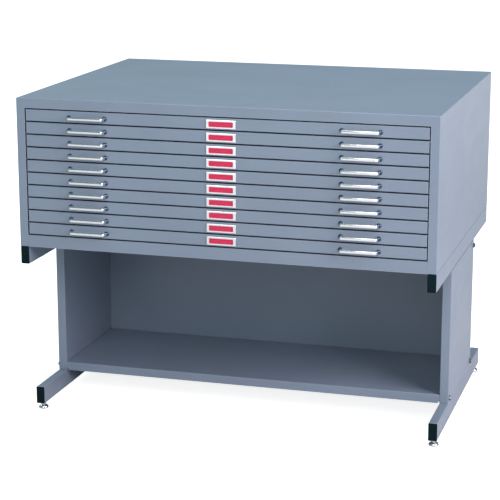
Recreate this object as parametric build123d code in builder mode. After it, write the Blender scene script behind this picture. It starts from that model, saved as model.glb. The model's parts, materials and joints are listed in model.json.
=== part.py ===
"""Flat file cabinet: a ten-drawer steel case for large sheets, on a high base with a book shelf.

Millimetres. X runs across the front, +X to the right of someone facing it. The front faces -Y.
Z = 0 is the floor, and the origin is the centre of the whole object's footprint.
"""

import os

from build123d import *

os.makedirs("parts", exist_ok=True)

# ---- overall sizes ----
case_width = 1178.0
case_depth = 898.5
case_height = 419.0
base_height = 508.0
drawer_count = 10

# ---- sheet metal ----
sheet = 1.2  # case and base
tray_sheet = 1.0
bend_radius = 2.0  # outside of a visible fold

# ---- front frame of the case ----
stile_width = 24.5
bottom_rail_height = 33.5
top_rail_height = 27.5
frame_return = 20.0  # how far the frame's inner edge folds back
bottom_lip = 20.0
rear_lip = 15.0
rail_fit = 0.5  # each end of the bottom rail, to the stile

# ---- drawers ----
drawer_gap = 3.4  # between one drawer front and the next, and to the frame above and below
drawer_end_gap = 3.0  # between a drawer front and a stile
drawer_front_depth = 14.0
drawer_front_lip = 8.0  # turned in behind the front, where the tray is welded
tray_floor_lift = 3.5  # tray floor above the drawer's lower line
tray_headroom = 5.0  # tray rim below the drawer's upper line
tray_side_clearance = 3.0  # tray rim to the stile
tray_flange = 12.0  # outward rim that the front rollers carry
tray_rear_gap = 30.0
hood_depth = 90.0
hood_lip = 15.0

# ---- runners and rollers ----
runner_web_clearance = 5.8  # tray rim to the runner's web
runner_side_gap = 4.0  # tray side to the runner's flanges
runner_lift = 2.0  # runner above the tray floor
runner_headroom = 2.8  # runner below the tray rim
runner_end_gap = 4.0
roller_play = 0.5
roller_width = 7.0
roller_hub_radius = 2.5
roller_chamfer = 0.8
front_roller_inset = 60.0  # behind the case's front
rear_roller_inset = 20.0  # ahead of the tray's rear
front_notch = 40.0  # the runner's top flange starts this far behind the front roller
stop_height = 8.0
stop_thickness = 2.0
open_stop_inset = 135.5  # behind the front roller, where it holds an open drawer
upright_width = 40.0
upright_front_inset = 70.0  # middle of the front upright, behind the case's front
upright_rear_inset = 88.5  # middle of the rear upright, ahead of the case's rear

# ---- pulls and label holders ----
pull_reach = 22.0
pull_bar_length = 101.0
pull_base_length = 107.0
pull_bar_height = 8.0
pull_bar_thickness = 4.0
pull_offset = 381.5  # from the drawer's middle
pull_drop = 2.0  # below the middle of the drawer front
pull_corner = 5.0
pull_edge = 1.2
pull_foot_radius = 6.5
pull_foot_depth = 5.0  # out from the front
pull_foot_round = 4.0  # round of the foot's rim
pull_rivet_radius = 2.5
pull_rivet_clearance = 0.2
pull_rivet_head_radius = 4.0
pull_rivet_head_height = 1.5
label_width = 82.0
label_height = 23.0
label_thickness = 2.6
label_window_width = 68.0
label_window_height = 14.5
label_window_corner = 2.5
label_drop = 1.2
card_slot_width = 77.0
card_slot_height = 18.0
card_slot_thickness = 1.0
card_slot_back = 0.8  # metal behind the card

# ---- end frames of the base ----
tube_width = 25.4
tube_height = 50.8
tube_wall = 1.5
tube_corner = 3.0
foot_setback = 76.8  # foot rail's end behind the case's front
side_panel_depth = 394.0
cap_flange = 2.5
cap_inset = 0.4  # the cap's flange inside the tube's outline
cap_edge = 1.8  # bevel round the cap's outer face
cap_plug_length = 10.0
cap_plug_clearance = 0.25
cap_plug_wall = 2.0

# ---- shelf and back panel ----
shelf_height = 24.8
shelf_lip = 12.0
shelf_notch = 5.0
back_panel_depth = 20.0
back_panel_top_gap = 2.0

# ---- bolts ----
bolt_radius = 3.175
bolt_clearance = 0.325  # bolt to the wall of its hole
bolt_head_height = 4.2
nut_across_flats = 11.1  # nuts and bolt heads
nut_height = 5.5
nut_chamfer = 0.8  # bolt heads too
washer_radius = 8.0
washer_thickness = 1.6
bolt_end = 2.0  # thread past the nut
shelf_bolt_inset = 14.0  # from the side panel's front or rear edge
shelf_bolt_height = 14.0  # above the shelf's lower edge
back_bolt_drop = 15.0  # below the top rail
case_bolt_inset = 120.0  # from the case's front or rear

# ---- levelling glides ----
glide_height = 19.0  # floor to the foot rail
glide_inset = 23.0  # behind the foot rail's end
glide_foot_radius = 14.2
glide_neck_radius = 7.0
glide_foot_rim = 3.5
glide_foot_height = 11.5
glide_stop_gap = 0.3
glide_hex_across_flats = 13.0
stem_radius = 3.97
stem_length = 25.0
stem_clearance = 0.06
insert_radius = 8.0
insert_height = 12.0

# ---- worked-out places ----
half_width = case_width / 2
front_y = -(case_depth - pull_reach) / 2
rear_y = front_y + case_depth
middle_y = (front_y + rear_y) / 2
case_bottom = base_height
case_top = base_height + case_height
opening_half = half_width - stile_width
opening_bottom = case_bottom + bottom_rail_height
opening_top = case_top - top_rail_height
drawer_pitch = (opening_top - opening_bottom - drawer_gap) / drawer_count
front_height = drawer_pitch - drawer_gap
front_half = opening_half - drawer_end_gap
pull_foot_reach = (pull_base_length - pull_bar_thickness) / 2
pull_feet = [way * pull_offset + end * pull_foot_reach for way in (-1, 1) for end in (-1, 1)]

pan_floor = case_bottom + sheet  # the pan rests on the wrapper's bottom lips
tray_front_y = front_y + drawer_front_depth
tray_rear_y = rear_y - 2 * sheet - tray_rear_gap
tray_depth = tray_rear_y - tray_front_y
tray_rim_half = opening_half - tray_side_clearance
tray_half = tray_rim_half - tray_flange
tray_height = drawer_pitch - tray_floor_lift - tray_headroom
web_face = tray_rim_half + runner_web_clearance
runner_tip = tray_half + runner_side_gap
runner_height = tray_height - tray_sheet - runner_lift - runner_headroom
runner_front_y = front_y + frame_return + runner_end_gap
runner_rear_y = rear_y - 2 * sheet - runner_end_gap
roller_radius = (runner_height - 2 * sheet) / 2 - roller_play
roller_inner = runner_tip + (web_face - runner_tip - roller_width) / 2
front_roller_y = front_y + front_roller_inset
rear_roller_y = tray_rear_y - rear_roller_inset
roller_to_stop = roller_radius + roller_play + stop_thickness / 2
closed_stop_y = rear_roller_y + roller_to_stop
open_stop_y = front_roller_y + open_stop_inset
drawer_travel = rear_roller_y - roller_to_stop - open_stop_y
upright_places = (front_y + upright_front_inset, middle_y, rear_y - upright_rear_inset)

foot_bottom = glide_height
foot_top = foot_bottom + tube_height
rail_bottom = case_bottom - tube_height
foot_front_y = front_y + foot_setback
foot_rear_y = rear_y - foot_setback
rail_centre_x = half_width - tube_width / 2
panel_inner = half_width - tube_width
panel_front_y = middle_y - side_panel_depth / 2
panel_rear_y = middle_y + side_panel_depth / 2
shelf_top = foot_top + shelf_height
back_panel_front_y = panel_rear_y - back_panel_depth
back_panel_top = case_bottom - back_panel_top_gap
bolt_hole_radius = bolt_radius + bolt_clearance

sides = (("left", -1), ("right", 1))
ends = (("front", 1, front_y), ("rear", -1, rear_y))  # name, way inwards along Y, the case's face


def band_bottom(index):
    """Height of the lower line of a drawer, counted from 0 at the bottom."""
    return opening_bottom + drawer_gap / 2 + index * drawer_pitch


# ================= case =================

# The wrapper: top and sides in one folded sheet, with the stiles and the top rail folded round the front.
with BuildPart() as case_wrapper:
    with BuildSketch(Plane.XY.offset(case_bottom)):
        with Locations((0, middle_y)):
            Rectangle(case_width, case_depth)
    extrude(amount=case_height)
    fillet(case_wrapper.edges().filter_by(Axis.Z), bend_radius)
    fillet(case_wrapper.faces().sort_by(Axis.Z)[-1].edges(), bend_radius)
    fillet(case_wrapper.faces().sort_by(Axis.Z)[0].edges().filter_by(Axis.Y), bend_radius)
    with BuildSketch(Plane.XY.offset(case_bottom + sheet)):
        with Locations((0, middle_y)):
            Rectangle(case_width - 2 * sheet, case_depth - 2 * sheet)
    extrude(amount=case_height - 2 * sheet, mode=Mode.SUBTRACT)
    with BuildSketch(Plane.XY.offset(case_bottom)):  # open bottom, between its side lips
        with Locations((0, middle_y)):
            Rectangle(2 * (half_width - sheet - bottom_lip), case_depth)
    extrude(amount=sheet, mode=Mode.SUBTRACT)
    with BuildSketch(Plane.XZ.offset(-front_y)):  # front opening
        with Locations((0, (case_bottom + opening_top) / 2)):
            Rectangle(2 * opening_half, opening_top - case_bottom)
    extrude(amount=-sheet, mode=Mode.SUBTRACT)
    with BuildSketch(Plane.XZ.offset(-rear_y)):  # rear opening, inside its lips
        with Locations((0, (case_bottom + case_top - rear_lip) / 2)):
            Rectangle(2 * (half_width - rear_lip), case_height - rear_lip)
    extrude(amount=sheet, mode=Mode.SUBTRACT)
    with BuildSketch(Plane.XZ.offset(-front_y)):  # returns round the opening
        with Locations((0, (case_bottom + opening_top + sheet) / 2)):
            Rectangle(2 * (opening_half + sheet), opening_top + sheet - case_bottom)
        with Locations((0, (case_bottom + opening_top) / 2)):
            Rectangle(2 * opening_half, opening_top - case_bottom, mode=Mode.SUBTRACT)
    extrude(amount=-frame_return)
    for _, inwards, face_y in ends:  # bolt holes to the top rails
        with Locations(
            (-rail_centre_x, face_y + inwards * case_bolt_inset, case_bottom + sheet),
            (rail_centre_x, face_y + inwards * case_bolt_inset, case_bottom + sheet),
        ):
            Hole(bolt_hole_radius, depth=2 * sheet)
case_wrapper.part.label = "case_wrapper"
export_step(case_wrapper.part, "parts/case_wrapper.step")

# The bottom pan: a dust bottom whose front edge folds up into the bottom rail.
with BuildPart() as bottom_pan:
    with BuildSketch(Plane.YZ):
        with BuildLine():
            Polyline(
                (front_y, case_bottom),
                (front_y, opening_bottom),
                (front_y + frame_return, opening_bottom),
                (front_y + frame_return, opening_bottom - frame_return / 2),
                (front_y + frame_return - sheet, opening_bottom - frame_return / 2),
                (front_y + frame_return - sheet, opening_bottom - sheet),
                (front_y + sheet, opening_bottom - sheet),
                (front_y + sheet, pan_floor + sheet),
                (front_y + frame_return + sheet, pan_floor + sheet),
                (front_y + frame_return + sheet, pan_floor),
                (front_y + 2 * sheet, pan_floor),
                (front_y + 2 * sheet, case_bottom),
                close=True,
            )
        make_face()
    extrude(amount=opening_half - rail_fit, both=True)
    front_fold = bottom_pan.edges().filter_by(Axis.X).group_by(Axis.Y)[0]
    fillet(front_fold.sort_by(Axis.Z)[-1], sheet)
    with BuildSketch(Plane.XY.offset(pan_floor)):
        pan_front = front_y + frame_return + sheet
        with Locations((0, (pan_front + rear_y - 2 * sheet) / 2)):
            Rectangle(2 * (half_width - sheet), rear_y - 2 * sheet - pan_front)
    extrude(amount=sheet)
    with BuildSketch(Plane.XZ.offset(-(rear_y - 2 * sheet))):
        with Locations((0, pan_floor + rear_lip / 2)):
            Rectangle(2 * (half_width - sheet), rear_lip)
    extrude(amount=sheet)
    for _, inwards, face_y in ends:
        with Locations(
            (-rail_centre_x, face_y + inwards * case_bolt_inset, pan_floor + sheet),
            (rail_centre_x, face_y + inwards * case_bolt_inset, pan_floor + sheet),
        ):
            Hole(bolt_hole_radius, depth=sheet)
bottom_pan.part.label = "case_bottom_pan"
export_step(bottom_pan.part, "parts/case_bottom_pan.step")

# The back sheet, inside the wrapper's rear lips.
with BuildPart() as case_back:
    with BuildSketch(Plane.XZ.offset(-(rear_y - sheet))):
        with Locations((0, (pan_floor + case_top - sheet) / 2)):
            Rectangle(2 * (half_width - sheet), case_top - sheet - pan_floor)
    extrude(amount=sheet)
case_back.part.label = "case_back"
export_step(case_back.part, "parts/case_back.step")

# A runner rack on each side: a channel for each drawer with a stop at each end, on three uprights.
for side, way in sides:
    with BuildPart() as runners:
        for index in range(drawer_count):
            runner_bottom = band_bottom(index) + tray_floor_lift + runner_lift
            with BuildSketch(Plane.XZ.offset(-runner_front_y)):
                runner_middle = runner_bottom + runner_height / 2
                with Locations((way * (runner_tip + web_face + sheet) / 2, runner_middle)):
                    Rectangle(web_face + sheet - runner_tip, runner_height)
                with Locations((way * (runner_tip + web_face) / 2, runner_middle)):
                    Rectangle(web_face - runner_tip, runner_height - 2 * sheet, mode=Mode.SUBTRACT)
            extrude(amount=-(runner_rear_y - runner_front_y))
            notch_length = front_roller_y + front_notch - runner_front_y
            with BuildSketch(Plane.XY.offset(runner_bottom + runner_height - sheet)):
                with Locations(
                    (way * (runner_tip + web_face) / 2, runner_front_y + notch_length / 2)
                ):
                    Rectangle(web_face - runner_tip, notch_length)
            extrude(amount=sheet, mode=Mode.SUBTRACT)
            with BuildSketch(Plane.XY.offset(runner_bottom + sheet)):
                with Locations(
                    (way * (roller_inner + web_face) / 2, closed_stop_y),
                    (way * (roller_inner + web_face) / 2, open_stop_y),
                ):
                    Rectangle(web_face - roller_inner, stop_thickness)
            extrude(amount=stop_height)
    with BuildPart() as uprights:
        upright_outer = half_width - sheet
        upright_inner = web_face + sheet
        with BuildSketch(Plane.XY.offset(pan_floor + sheet)):
            for upright_y in upright_places:
                with Locations((way * (upright_inner + upright_outer) / 2, upright_y)):
                    Rectangle(upright_outer - upright_inner, upright_width)
                with Locations((way * (upright_inner + sheet + upright_outer) / 2, upright_y)):
                    Rectangle(
                        upright_outer - upright_inner - sheet,
                        upright_width - 2 * sheet,
                        mode=Mode.SUBTRACT,
                    )
        extrude(amount=case_top - 2 * sheet - pan_floor)
    runner_rack = Compound(children=[*runners.part.solids(), *uprights.part.solids()])
    runner_rack.label = f"{side}_runner_rack"
    export_step(runner_rack, f"parts/{side}_runner_rack.step")

# Front rollers: one at the mouth of every runner, on a stub pin in the runner's web.
with BuildPart() as front_rollers:
    for index in range(drawer_count):
        rim_underside = band_bottom(index) + tray_floor_lift + tray_height - tray_sheet
        roller_z = rim_underside - roller_play - roller_radius
        for _, way in sides:
            wheel_plane = Plane((way * roller_inner, front_roller_y, roller_z), z_dir=(way, 0, 0))
            with BuildSketch(wheel_plane):
                Circle(roller_radius)
            extrude(amount=roller_width)
            with BuildSketch(wheel_plane):
                Circle(roller_hub_radius)
            extrude(amount=web_face - roller_inner)
    rims = front_rollers.edges().filter_by(GeomType.CIRCLE)
    rims = rims.filter_by(lambda rim: abs(rim.radius - roller_radius) < roller_play)
    chamfer(rims, roller_chamfer)
front_rollers.part.label = "front_rollers"
export_step(front_rollers.part, "parts/front_rollers.step")

# ================= drawers =================

for index in range(drawer_count):
    name = f"drawer_{index + 1:02d}"
    band = band_bottom(index)
    front_middle = band + drawer_pitch / 2
    tray_floor = band + tray_floor_lift
    tray_rim = tray_floor + tray_height

    # Front: a shallow folded pan, with lips turned in at the back that the tray is welded to.
    with BuildPart() as drawer_front:
        with BuildSketch(Plane.XZ.offset(-front_y)):
            with Locations((0, front_middle)):
                Rectangle(2 * front_half, front_height)
        extrude(amount=-drawer_front_depth)
        fillet(drawer_front.faces().sort_by(Axis.Y)[0].edges(), bend_radius)
        with BuildSketch(Plane.XZ.offset(-(front_y + sheet))):
            with Locations((0, front_middle)):
                Rectangle(2 * (front_half - sheet), front_height - 2 * sheet)
        extrude(amount=-(drawer_front_depth - 2 * sheet), mode=Mode.SUBTRACT)
        with BuildSketch(Plane.XZ.offset(-tray_front_y)):
            with Locations((0, front_middle)):
                Rectangle(2 * (front_half - drawer_front_lip), front_height - 2 * drawer_front_lip)
        extrude(amount=sheet, mode=Mode.SUBTRACT)
        with BuildSketch(Plane.XZ.offset(-front_y)):  # rivet holes of the pulls
            with Locations(*((foot_x, front_middle - pull_drop) for foot_x in pull_feet)):
                Circle(pull_rivet_radius + pull_rivet_clearance)
        extrude(amount=-sheet, mode=Mode.SUBTRACT)
    drawer_front.part.label = f"{name}_front"
    export_step(drawer_front.part, f"parts/{name}_front.step")

    # Tray: a sheet folded up at its front and rear, between two sides with outward rims. Its hood and
    # its two rear rollers are fixed to it.
    with BuildPart() as tray_pan:
        with BuildSketch(Plane.YZ):
            with Locations(((tray_front_y + tray_rear_y) / 2, tray_floor + tray_height / 2)):
                Rectangle(tray_depth, tray_height)
            with Locations(((tray_front_y + tray_rear_y) / 2, tray_rim - tray_height / 2 + tray_sheet)):
                Rectangle(tray_depth - 2 * tray_sheet, tray_height, mode=Mode.SUBTRACT)
        extrude(amount=tray_half - tray_sheet, both=True)
    with BuildPart() as tray_sides:
        with BuildSketch(Plane.XZ.offset(-tray_front_y)):
            for _, way in sides:
                with Locations((way * (tray_half - tray_sheet / 2), tray_floor + tray_height / 2)):
                    Rectangle(tray_sheet, tray_height)
                with Locations((way * (tray_half + tray_rim_half) / 2, tray_rim - tray_sheet / 2)):
                    Rectangle(tray_flange, tray_sheet)
        extrude(amount=-tray_depth)
    with BuildPart() as hood:
        with BuildSketch(Plane.YZ):
            with BuildLine():
                Polyline(
                    (tray_rear_y - hood_depth, tray_rim),
                    (tray_rear_y, tray_rim),
                    (tray_rear_y, tray_rim - hood_lip),
                    (tray_rear_y + tray_sheet, tray_rim - hood_lip),
                    (tray_rear_y + tray_sheet, tray_rim + tray_sheet),
                    (tray_rear_y - hood_depth, tray_rim + tray_sheet),
                    close=True,
                )
            make_face()
        extrude(amount=tray_half, both=True)
    with BuildPart() as rear_rollers:
        roller_z = tray_floor + runner_lift + runner_height / 2
        for _, way in sides:
            side_plane = Plane((way * tray_half, rear_roller_y, roller_z), z_dir=(way, 0, 0))
            with BuildSketch(side_plane):
                Circle(roller_hub_radius)
            extrude(amount=roller_inner - tray_half)
            with BuildSketch(side_plane.offset(roller_inner - tray_half)):
                Circle(roller_radius)
            extrude(amount=roller_width)
        rims = rear_rollers.edges().filter_by(GeomType.CIRCLE)
        rims = rims.filter_by(lambda rim: abs(rim.radius - roller_radius) < roller_play)
        chamfer(rims, roller_chamfer)
    tray = Compound(
        children=[
            *tray_pan.part.solids(),
            *tray_sides.part.solids(),
            *hood.part.solids(),
            *rear_rollers.part.solids(),
        ]
    )
    tray.label = f"{name}_tray"
    export_step(tray, f"parts/{name}_tray.step")

    # Pulls: a flat bar bent back at both ends, on a round domed foot at each end, riveted through the
    # front.
    with BuildPart() as pulls:
        bar_middle = front_middle - pull_drop
        with BuildSketch(Plane.XZ.offset(-front_y)):
            with Locations(*((foot_x, bar_middle) for foot_x in pull_feet)):
                Circle(pull_foot_radius)
        extrude(amount=pull_foot_depth)
        foot_rims = pulls.faces().filter_by(Axis.Y).group_by(Axis.Y)[0].edges()
        fillet(foot_rims, pull_foot_round)
        with BuildSketch(Plane.XY.offset(bar_middle - pull_bar_height / 2)):
            with Locations((-pull_offset, front_y), (pull_offset, front_y)):
                with BuildSketch(mode=Mode.PRIVATE) as bar:
                    with BuildLine():
                        Polyline(
                            (-pull_base_length / 2, 0),
                            (-pull_bar_length / 2, -pull_reach),
                            (pull_bar_length / 2, -pull_reach),
                            (pull_base_length / 2, 0),
                            close=True,
                        )
                    make_face()
                    fillet(bar.vertices().group_by(Axis.Y)[0], pull_corner)
                    with BuildLine():
                        Polyline(
                            (-pull_base_length / 2 + pull_bar_thickness, 0),
                            (-pull_bar_length / 2 + pull_bar_thickness, pull_bar_thickness - pull_reach),
                            (pull_bar_length / 2 - pull_bar_thickness, pull_bar_thickness - pull_reach),
                            (pull_base_length / 2 - pull_bar_thickness, 0),
                            close=True,
                        )
                    make_face(mode=Mode.SUBTRACT)
                add(bar.sketch)
        extrude(amount=pull_bar_height)
        fillet(pulls.faces().filter_by(Axis.Z).edges().group_by(Axis.Y)[0], pull_edge)
        with BuildSketch(Plane.XZ.offset(-front_y)):
            with Locations(*((foot_x, bar_middle) for foot_x in pull_feet)):
                Circle(pull_rivet_radius)
        extrude(amount=-sheet)
        with BuildSketch(Plane.XZ.offset(-(front_y + sheet))):
            with Locations(*((foot_x, bar_middle) for foot_x in pull_feet)):
                Circle(pull_rivet_head_radius)
        extrude(amount=-pull_rivet_head_height)
    pulls.part.label = f"{name}_pulls"
    export_step(pulls.part, f"parts/{name}_pulls.step")

    # Label holder: a stamped frame with a window, and a slot for the card that opens to the right.
    with BuildPart() as label_holder:
        label_middle = front_middle - label_drop
        with BuildSketch(Plane.XZ.offset(-front_y)):
            with Locations((0, label_middle)):
                RectangleRounded(label_width, label_height, label_thickness / 2)
        extrude(amount=label_thickness)
        chamfer(label_holder.faces().sort_by(Axis.Y)[0].edges(), label_thickness / 4)
        with BuildSketch(Plane.XZ.offset(-front_y)):
            with Locations((0, label_middle)):
                RectangleRounded(label_window_width, label_window_height, label_window_corner)
        extrude(amount=label_thickness, mode=Mode.SUBTRACT)
        with BuildSketch(Plane.XZ.offset(-(front_y - card_slot_back))):
            with Locations(((label_width - card_slot_width) / 2, label_middle)):
                Rectangle(card_slot_width, card_slot_height)
        extrude(amount=card_slot_thickness, mode=Mode.SUBTRACT)
    label_holder.part.label = f"{name}_label_holder"
    export_step(label_holder.part, f"parts/{name}_label_holder.step")

# ================= base =================

for side, way in sides:
    # Top rail: a rectangular tube under each side of the case.
    with BuildPart() as top_rail:
        with BuildSketch(Plane.XZ.offset(-(front_y + cap_flange))):
            with Locations((way * rail_centre_x, rail_bottom + tube_height / 2)):
                RectangleRounded(tube_width, tube_height, tube_corner)
                RectangleRounded(
                    tube_width - 2 * tube_wall,
                    tube_height - 2 * tube_wall,
                    tube_corner - tube_wall,
                    mode=Mode.SUBTRACT,
                )
        extrude(amount=-(case_depth - 2 * cap_flange))
        with Locations(
            (way * rail_centre_x, front_y + case_bolt_inset, case_bottom),
            (way * rail_centre_x, rear_y - case_bolt_inset, case_bottom),
        ):
            Hole(bolt_hole_radius, depth=tube_height)
    top_rail.part.label = f"{side}_top_rail"
    export_step(top_rail.part, f"parts/{side}_top_rail.step")

    # Foot rail: a shorter tube of the same section, with a threaded insert at each end for a glide.
    with BuildPart() as foot_rail:
        with BuildSketch(Plane.XZ.offset(-(foot_front_y + cap_flange))):
            with Locations((way * rail_centre_x, foot_bottom + tube_height / 2)):
                RectangleRounded(tube_width, tube_height, tube_corner)
                RectangleRounded(
                    tube_width - 2 * tube_wall,
                    tube_height - 2 * tube_wall,
                    tube_corner - tube_wall,
                    mode=Mode.SUBTRACT,
                )
        extrude(amount=-(foot_rear_y - foot_front_y - 2 * cap_flange))
        with BuildSketch(Plane.XY.offset(foot_bottom)):
            with Locations(
                (way * rail_centre_x, foot_front_y + glide_inset),
                (way * rail_centre_x, foot_rear_y - glide_inset),
            ):
                Circle(insert_radius)
        extrude(amount=insert_height)
        with BuildSketch(Plane.XY.offset(foot_bottom)):
            with Locations(
                (way * rail_centre_x, foot_front_y + glide_inset),
                (way * rail_centre_x, foot_rear_y - glide_inset),
            ):
                Circle(stem_radius + stem_clearance)
        extrude(amount=insert_height, mode=Mode.SUBTRACT)
    foot_rail.part.label = f"{side}_foot_rail"
    export_step(foot_rail.part, f"parts/{side}_foot_rail.step")

    # Side panel: a broad, flat upright folded from one sheet and welded between the two rails.
    with BuildPart() as side_panel:
        with BuildSketch(Plane.XY.offset(foot_top)):
            with Locations((way * rail_centre_x, middle_y)):
                RectangleRounded(tube_width, side_panel_depth, bend_radius)
                Rectangle(tube_width - 2 * sheet, side_panel_depth - 2 * sheet, mode=Mode.SUBTRACT)
        extrude(amount=rail_bottom - foot_top)
        bolt_spots = (
            (panel_front_y + shelf_bolt_inset, foot_top + shelf_bolt_height),
            (panel_rear_y - shelf_bolt_inset, foot_top + shelf_bolt_height),
            (panel_rear_y - back_panel_depth / 2, rail_bottom - back_bolt_drop),
        )
        with BuildSketch(Plane.YZ.offset(way * half_width)):
            with Locations(*bolt_spots):
                Circle(bolt_hole_radius)
        extrude(amount=-way * tube_width, mode=Mode.SUBTRACT)
    side_panel.part.label = f"{side}_side_panel"
    export_step(side_panel.part, f"parts/{side}_side_panel.step")

# Shelf: a pan, open below, with lips under its front and rear edges.
with BuildPart() as shelf:
    with BuildSketch(Plane.XY.offset(foot_top)):
        with Locations((0, middle_y)):
            Rectangle(2 * panel_inner, side_panel_depth)
    extrude(amount=shelf_height)
    fillet(shelf.edges().filter_by(Axis.X).group_by(Axis.Z)[-1].sort_by(Axis.Y)[0], bend_radius)
    with BuildSketch(Plane.XY.offset(foot_top + sheet)):
        with Locations((0, middle_y)):
            Rectangle(2 * (panel_inner - sheet), side_panel_depth - 2 * sheet)
    extrude(amount=shelf_height - 2 * sheet, mode=Mode.SUBTRACT)
    with BuildSketch(Plane.XY.offset(foot_top)):
        with Locations((0, middle_y)):
            Rectangle(2 * (panel_inner - sheet), side_panel_depth - 2 * shelf_lip)
    extrude(amount=sheet, mode=Mode.SUBTRACT)
    with BuildSketch(Plane.XZ.offset(-panel_front_y)):  # relief notches at the ends of the front edge
        notch_x = panel_inner - shelf_notch / 2
        with Locations((-notch_x, foot_top + shelf_notch / 2), (notch_x, foot_top + shelf_notch / 2)):
            Rectangle(shelf_notch, shelf_notch)
    extrude(amount=-shelf_lip, mode=Mode.SUBTRACT)
    with BuildSketch(Plane.YZ.offset(-panel_inner)):
        with Locations(*bolt_spots[:2]):
            Circle(bolt_hole_radius)
    extrude(amount=2 * panel_inner, mode=Mode.SUBTRACT)
shelf.part.label = "shelf"
export_step(shelf.part, "parts/shelf.step")

# Back panel of the shelf bay: a pan, open at the back, standing on the shelf's rear edge.
with BuildPart() as back_panel:
    with BuildSketch(Plane.XZ.offset(-back_panel_front_y)):
        with Locations((0, (shelf_top + back_panel_top) / 2)):
            Rectangle(2 * panel_inner, back_panel_top - shelf_top)
    extrude(amount=-back_panel_depth)
    with BuildSketch(Plane.XZ.offset(-(back_panel_front_y + sheet))):
        with Locations((0, (shelf_top + back_panel_top) / 2)):
            Rectangle(2 * (panel_inner - sheet), back_panel_top - shelf_top - 2 * sheet)
    extrude(amount=-back_panel_depth, mode=Mode.SUBTRACT)
    with BuildSketch(Plane.YZ.offset(-panel_inner)):
        with Locations(bolt_spots[2]):
            Circle(bolt_hole_radius)
    extrude(amount=2 * panel_inner, mode=Mode.SUBTRACT)
back_panel.part.label = "base_back_panel"
export_step(back_panel.part, "parts/base_back_panel.step")

# End caps: a moulded plug with a low flange, in both ends of the four rails.
with BuildPart() as end_caps:
    rail_ends = (
        (front_y, 1, rail_bottom),
        (rear_y, -1, rail_bottom),
        (foot_front_y, 1, foot_bottom),
        (foot_rear_y, -1, foot_bottom),
    )
    for _, way in sides:
        for end_y, inwards, tube_bottom in rail_ends:
            centre = (way * rail_centre_x, tube_bottom + tube_height / 2)
            with BuildSketch(Plane.XZ.offset(-end_y)):
                with Locations(centre):
                    RectangleRounded(
                        tube_width - 2 * cap_inset, tube_height - 2 * cap_inset, tube_corner - cap_inset
                    )
            extrude(amount=-inwards * cap_flange)
            with BuildSketch(Plane.XZ.offset(-(end_y + inwards * cap_flange))):
                with Locations(centre):
                    plug_gap = tube_wall + cap_plug_clearance
                    RectangleRounded(
                        tube_width - 2 * plug_gap, tube_height - 2 * plug_gap, tube_corner - tube_wall
                    )
                    core_gap = plug_gap + cap_plug_wall
                    Rectangle(tube_width - 2 * core_gap, tube_height - 2 * core_gap, mode=Mode.SUBTRACT)
            extrude(amount=-inwards * cap_plug_length)
    outer_faces = [
        face
        for face in end_caps.faces().filter_by(Axis.Y)
        if any(abs(face.center().Y - end_y) < cap_flange / 2 for end_y, _, _ in rail_ends)
    ]
    chamfer([edge for face in outer_faces for edge in face.edges()], cap_edge)
end_caps.part.label = "rail_end_caps"
export_step(end_caps.part, "parts/rail_end_caps.step")

# Bolts and nuts: three through each side panel with a washer under each head, and two up through
# each top rail into the case.
with BuildPart() as side_bolts:
    for _, way in sides:
        for bolt_y, bolt_z in bolt_spots:
            head_plane = Plane((way * (half_width + washer_thickness), bolt_y, bolt_z), z_dir=(way, 0, 0))
            with BuildSketch(head_plane):
                RegularPolygon(nut_across_flats / 2, 6, major_radius=False)
            extrude(amount=bolt_head_height)
            nut_plane = head_plane.offset(-(washer_thickness + tube_width + sheet))
            with BuildSketch(head_plane):
                Circle(bolt_radius)
            extrude(amount=-(washer_thickness + tube_width + sheet + nut_height + bolt_end))
            with BuildSketch(nut_plane):
                RegularPolygon(nut_across_flats / 2, 6, major_radius=False)
                Circle(bolt_hole_radius, mode=Mode.SUBTRACT)
            extrude(amount=-nut_height)
    head_faces = [
        face
        for face in side_bolts.faces().filter_by(Axis.X)
        if abs(face.center().X) > half_width + bolt_head_height
    ]
    chamfer([edge for face in head_faces for edge in face.edges()], nut_chamfer)
with BuildPart() as side_washers:
    for _, way in sides:
        for bolt_y, bolt_z in bolt_spots:
            with BuildSketch(Plane((way * half_width, bolt_y, bolt_z), z_dir=(way, 0, 0))):
                Circle(washer_radius)
                Circle(bolt_hole_radius, mode=Mode.SUBTRACT)
            extrude(amount=washer_thickness)
with BuildPart() as case_bolts:
    for _, way in sides:
        for bolt_y in (front_y + case_bolt_inset, rear_y - case_bolt_inset):
            with BuildSketch(Plane.XY.offset(rail_bottom)):
                with Locations((way * rail_centre_x, bolt_y)):
                    RegularPolygon(nut_across_flats / 2, 6, major_radius=False)
            extrude(amount=-bolt_head_height)
            with BuildSketch(Plane.XY.offset(rail_bottom)):
                with Locations((way * rail_centre_x, bolt_y)):
                    Circle(bolt_radius)
            extrude(amount=tube_height + 2 * sheet + nut_height + bolt_end)
            with BuildSketch(Plane.XY.offset(pan_floor + sheet)):
                with Locations((way * rail_centre_x, bolt_y)):
                    RegularPolygon(nut_across_flats / 2, 6, major_radius=False)
                    Circle(bolt_hole_radius, mode=Mode.SUBTRACT)
            extrude(amount=nut_height)
    chamfer(case_bolts.faces().filter_by(Axis.Z).group_by(Axis.Z)[0].edges(), nut_chamfer)
base_bolts = Compound(
    children=[*side_bolts.part.solids(), *side_washers.part.solids(), *case_bolts.part.solids()]
)
base_bolts.label = "base_bolts"
export_step(base_bolts, "parts/base_bolts.step")

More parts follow.
